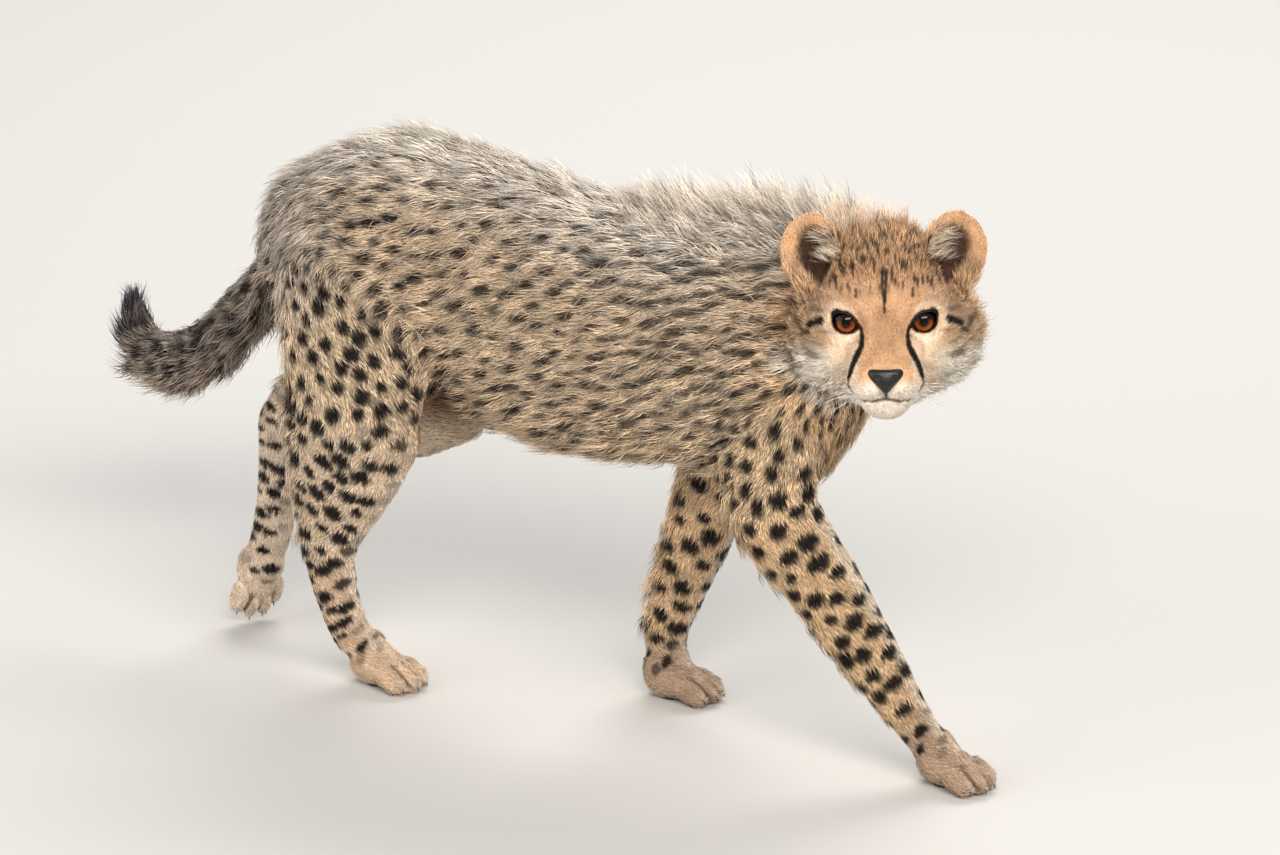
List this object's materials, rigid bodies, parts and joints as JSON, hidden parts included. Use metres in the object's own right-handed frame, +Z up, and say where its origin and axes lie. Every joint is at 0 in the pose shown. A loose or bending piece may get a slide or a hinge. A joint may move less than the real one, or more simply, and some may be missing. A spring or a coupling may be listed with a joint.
{
  "type": "cheetah cub, walking",
  "caption": "Life-size still model of a young cheetah walking with its head turned to look sideways, in a spotted long coat.",
  "frame": {"origin": "on the floor, below the middle of the animal's bounding box", "axes": "+X the way it walks, +Y its left side, +Z up"},
  "size_m": [0.7562, 0.1982, 0.4305],
  "materials": {
    "coat": "matt fur, tan to cream with black spots",
    "mantle": "long wispy fur, silver grey to cream",
    "eye": "wet gloss over an amber brown iris and a black pupil",
    "nose": "fine pebbled black leather, damp",
    "claw": "smooth dark horn"
  },
  "bodies": {
    "root": {"trunk": "coat", "neck": "coat", "mantle": "mantle", "head": "coat", "nose": "nose", "ear_left": "coat", "ear_right": "coat", "eye_left": "eye", "eye_right": "eye", "tail_base": "coat", "tail_middle": "coat", "tail_tip": "mantle", "thigh_left": "coat", "thigh_right": "coat", "shank_left": "coat", "shank_right": "coat", "hind_foot_left": "coat", "hind_foot_right": "coat", "upper_arm_left": "coat", "upper_arm_right": "coat", "forearm_left": "coat", "forearm_right": "coat", "forefoot_left": "coat", "forefoot_right": "coat"}
  },
  "joints": []
}
